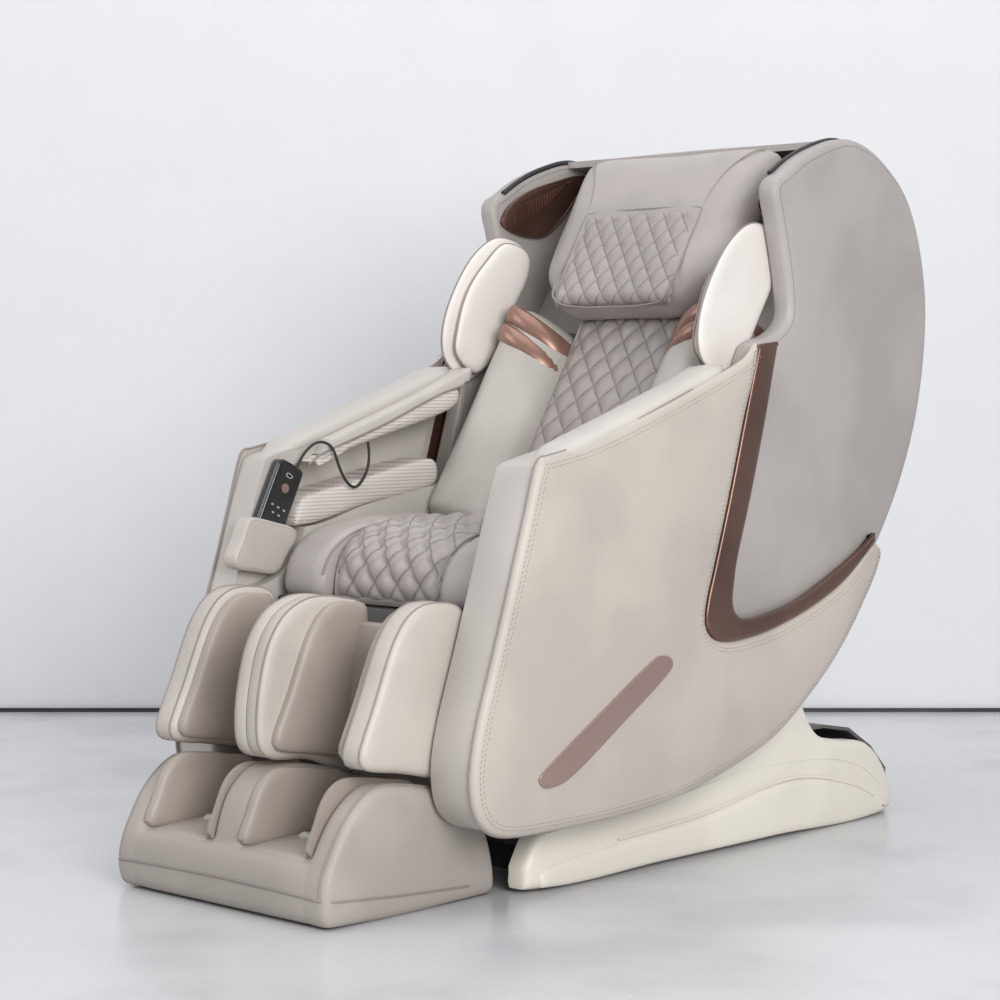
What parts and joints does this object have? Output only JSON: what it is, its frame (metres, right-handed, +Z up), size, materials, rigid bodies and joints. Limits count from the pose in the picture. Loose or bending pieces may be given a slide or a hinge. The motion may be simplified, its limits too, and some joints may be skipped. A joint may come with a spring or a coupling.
{
  "type": "massage chair",
  "caption": "Reclining massage chair with enclosed arms, quilted seat and back, a rolling massage carriage, a lifting legrest and an extending footrest.",
  "frame": {"origin": "centre of the footprint on the floor", "axes": "+Z up, -Y towards the sitter's toes, +X towards the sitter's left"},
  "size_m": [0.749, 1.4344, 1.2202],
  "materials": {
    "steel_frame": "satin black powder coat",
    "cream_cover": "satin cream moulding",
    "deck_grey": "matte grey moulding",
    "black_plastic": "matte",
    "rubber_black": "matte",
    "housing_grey": "matte",
    "bright_steel": "ground",
    "champagne_leather": "smooth upholstery",
    "taupe_leather": "quilted upholstery",
    "ivory_leather": "smooth upholstery",
    "beige_leather": "smooth upholstery",
    "copper_trim": "metallic copper lacquer",
    "rose_plate": "metallic rose lacquer",
    "gloss_black": "gloss",
    "roller_nylon": "nylon"
  },
  "bodies": {
    "base": {"base_frame": "steel_frame", "levelling_feet": "rubber_black", "rear_deck_cover": "deck_grey", "control_box": "housing_grey", "air_pump": "housing_grey", "power_inlet": "black_plastic", "base_cover_left": "cream_cover", "base_cover_right": "cream_cover"},
    "rocker": {"power_rocker": "gloss_black"},
    "wheel_left": {"transport_wheel_left": "rubber_black"},
    "wheel_right": {"transport_wheel_right": "rubber_black"},
    "seat": {"seat_frame": "steel_frame", "seat_front_board": "deck_grey", "seat_cushion": "taupe_leather", "side_panel_left": "champagne_leather", "side_panel_right": "champagne_leather", "arm_pad_upper_left": "ivory_leather", "arm_pad_upper_right": "ivory_leather", "arm_pad_lower_left": "ivory_leather", "arm_pad_lower_right": "ivory_leather", "side_trim_left": "copper_trim", "side_trim_right": "copper_trim", "side_plates": "rose_plate", "remote_pocket": "champagne_leather", "remote_cord": "rubber_black"},
    "remote": {"remote_handset": "gloss_black"},
    "remote_key": {"remote_power_key": "gloss_black"},
    "backrest": {"back_frame": "steel_frame", "back_cover": "taupe_leather", "back_pad": "taupe_leather", "back_shell_left": "champagne_leather", "back_shell_right": "champagne_leather", "bolster_left": "ivory_leather", "bolster_right": "ivory_leather", "bolster_bands": "copper_trim", "shoulder_pad_left": "ivory_leather", "shoulder_pad_right": "ivory_leather", "speaker_grille_left": "copper_trim", "speaker_grille_right": "copper_trim"},
    "pillow": {"head_pillow": "taupe_leather"},
    "carriage": {"massage_carriage": "housing_grey"},
    "legrest": {"calf_frame": "steel_frame", "calf_shell": "champagne_leather", "calf_liners": "beige_leather"},
    "footrest": {"foot_shell": "champagne_leather", "foot_liners": "beige_leather"},
    "tilt_motor": {"tilt_actuator_housing": "housing_grey"},
    "tilt_rod": {"tilt_actuator_rod": "bright_steel"},
    "recline_motor": {"recline_actuator_housing": "housing_grey"},
    "recline_rod": {"recline_actuator_rod": "bright_steel"},
    "legrest_motor": {"legrest_actuator_housing": "housing_grey"},
    "legrest_rod": {"legrest_actuator_rod": "bright_steel"},
    "kneading_left": {"kneading_arm_left": "steel_frame"},
    "roller_lower_left": {"massage_roller_lower_left": "roller_nylon"},
    "roller_upper_left": {"massage_roller_upper_left": "roller_nylon"},
    "foot_roller_left": {"foot_roller_left": "roller_nylon"},
    "kneading_right": {"kneading_arm_right": "steel_frame"},
    "roller_lower_right": {"massage_roller_lower_right": "roller_nylon"},
    "roller_upper_right": {"massage_roller_upper_right": "roller_nylon"},
    "foot_roller_right": {"foot_roller_right": "roller_nylon"}
  },
  "joints": [
    {"name": "seat_tilt", "type": "hinge", "parent": "base", "child": "seat", "pos_m": [0, 0.3, 0.3], "axis": [-1, 0, 0], "range_deg": [0, 18]},
    {"name": "backrest_recline", "type": "hinge", "parent": "seat", "child": "backrest", "pos_m": [0, 0.1, 0.43], "axis": [-1, 0, 0], "range_deg": [0, 30]},
    {"name": "legrest_lift", "type": "hinge", "parent": "seat", "child": "legrest", "pos_m": [0, -0.4, 0.428], "axis": [-1, 0, 0], "range_deg": [0, 75]},
    {"name": "footrest_extend", "type": "slide", "parent": "legrest", "child": "footrest", "axis": [0, -0.0718, -0.9974], "range_m": [0, 0.12]},
    {"name": "carriage_travel", "type": "slide", "parent": "backrest", "child": "carriage", "axis": [0, 0.5402, 0.8415], "range_m": [-0.3, 0.22]},
    {"name": "pillow_flip", "type": "hinge", "parent": "backrest", "child": "pillow", "pos_m": [0, 0.42183, 1.18119], "axis": [-1, 0, 0], "range_deg": [0, 55]},
    {"name": "kneading_left_rock", "type": "hinge", "parent": "carriage", "child": "kneading_left", "pos_m": [0, 0.2808, 0.81898], "axis": [-1, 0, 0], "range_deg": [-8, 8]},
    {"name": "kneading_right_rock", "type": "hinge", "parent": "carriage", "child": "kneading_right", "pos_m": [0, 0.2808, 0.81898], "axis": [-1, 0, 0], "range_deg": [-8, 8]},
    {"name": "roller_lower_left_spin", "type": "hinge", "parent": "kneading_left", "child": "roller_lower_left", "pos_m": [0, 0.23949, 0.76944], "axis": [1, 0, 0], "continuous": true},
    {"name": "roller_upper_left_spin", "type": "hinge", "parent": "kneading_left", "child": "roller_upper_left", "pos_m": [0, 0.30864, 0.87716], "axis": [1, 0, 0], "continuous": true},
    {"name": "foot_roller_left_spin", "type": "hinge", "parent": "footrest", "child": "foot_roller_left", "pos_m": [0, -0.6, 0.096], "axis": [1, 0, 0], "continuous": true},
    {"name": "wheel_left_spin", "type": "hinge", "parent": "base", "child": "wheel_left", "pos_m": [0, 0.62, 0.032], "axis": [1, 0, 0], "continuous": true},
    {"name": "roller_lower_right_spin", "type": "hinge", "parent": "kneading_right", "child": "roller_lower_right", "pos_m": [0, 0.23949, 0.76944], "axis": [1, 0, 0], "continuous": true},
    {"name": "roller_upper_right_spin", "type": "hinge", "parent": "kneading_right", "child": "roller_upper_right", "pos_m": [0, 0.30864, 0.87716], "axis": [1, 0, 0], "continuous": true},
    {"name": "foot_roller_right_spin", "type": "hinge", "parent": "footrest", "child": "foot_roller_right", "pos_m": [0, -0.6, 0.096], "axis": [1, 0, 0], "continuous": true},
    {"name": "wheel_right_spin", "type": "hinge", "parent": "base", "child": "wheel_right", "pos_m": [0, 0.62, 0.032], "axis": [1, 0, 0], "continuous": true},
    {"name": "power_rocker_tip", "type": "hinge", "parent": "base", "child": "rocker", "pos_m": [0, 0.707, 0.04], "axis": [1, 0, 0], "range_deg": [-7, 7]},
    {"name": "remote_lift", "type": "slide", "parent": "seat", "child": "remote", "axis": [0, 0.439, 0.8985], "range_m": [0, 0.09], "deforming": ["remote_cord"]},
    {"name": "remote_key_press", "type": "slide", "parent": "remote", "child": "remote_key", "axis": [-1, 0, 0], "range_m": [0, 0.0009], "stiffness_N_per_m": 600},
    {"name": "tilt_motor_swing", "type": "hinge", "parent": "base", "child": "tilt_motor", "pos_m": [0, 0.04, 0.08], "axis": [-1, 0, 0], "range_deg": [0, 10.58]},
    {"name": "tilt_rod_slide", "type": "slide", "parent": "tilt_motor", "child": "tilt_rod", "axis": [0, -0.3714, 0.9285], "range_m": [0, 0.10052]},
    {"name": "recline_motor_swing", "type": "hinge", "parent": "seat", "child": "recline_motor", "pos_m": [0, -0.2, 0.345], "axis": [-1, 0, 0], "range_deg": [0, 2.03]},
    {"name": "recline_rod_slide", "type": "slide", "parent": "recline_motor", "child": "recline_rod", "axis": [0, 0.999, 0.0441], "range_m": [-0.04106, 0]},
    {"name": "legrest_motor_swing", "type": "hinge", "parent": "seat", "child": "legrest_motor", "pos_m": [0, -0.08, 0.335], "axis": [-1, 0, 0], "range_deg": [0, 3.58]},
    {"name": "legrest_rod_slide", "type": "slide", "parent": "legrest_motor", "child": "legrest_rod", "axis": [0, -0.9988, 0.0499], "range_m": [0, 0.09855]}
  ],
  "couplings": [
    {"joint": "kneading_right_rock", "follows": "kneading_left_rock", "ratio": -1},
    {"joint": "tilt_motor_swing", "follows": "seat_tilt", "ratio": 0.57625},
    {"joint": "tilt_rod_slide", "follows": "seat_tilt", "m_per_rad": 0.31369},
    {"joint": "recline_motor_swing", "follows": "backrest_recline", "ratio": 0.066439},
    {"joint": "recline_rod_slide", "follows": "backrest_recline", "m_per_rad": -0.076874},
    {"joint": "legrest_motor_swing", "follows": "legrest_lift", "ratio": 0.046777},
    {"joint": "legrest_rod_slide", "follows": "legrest_lift", "m_per_rad": 0.073812}
  ]
}
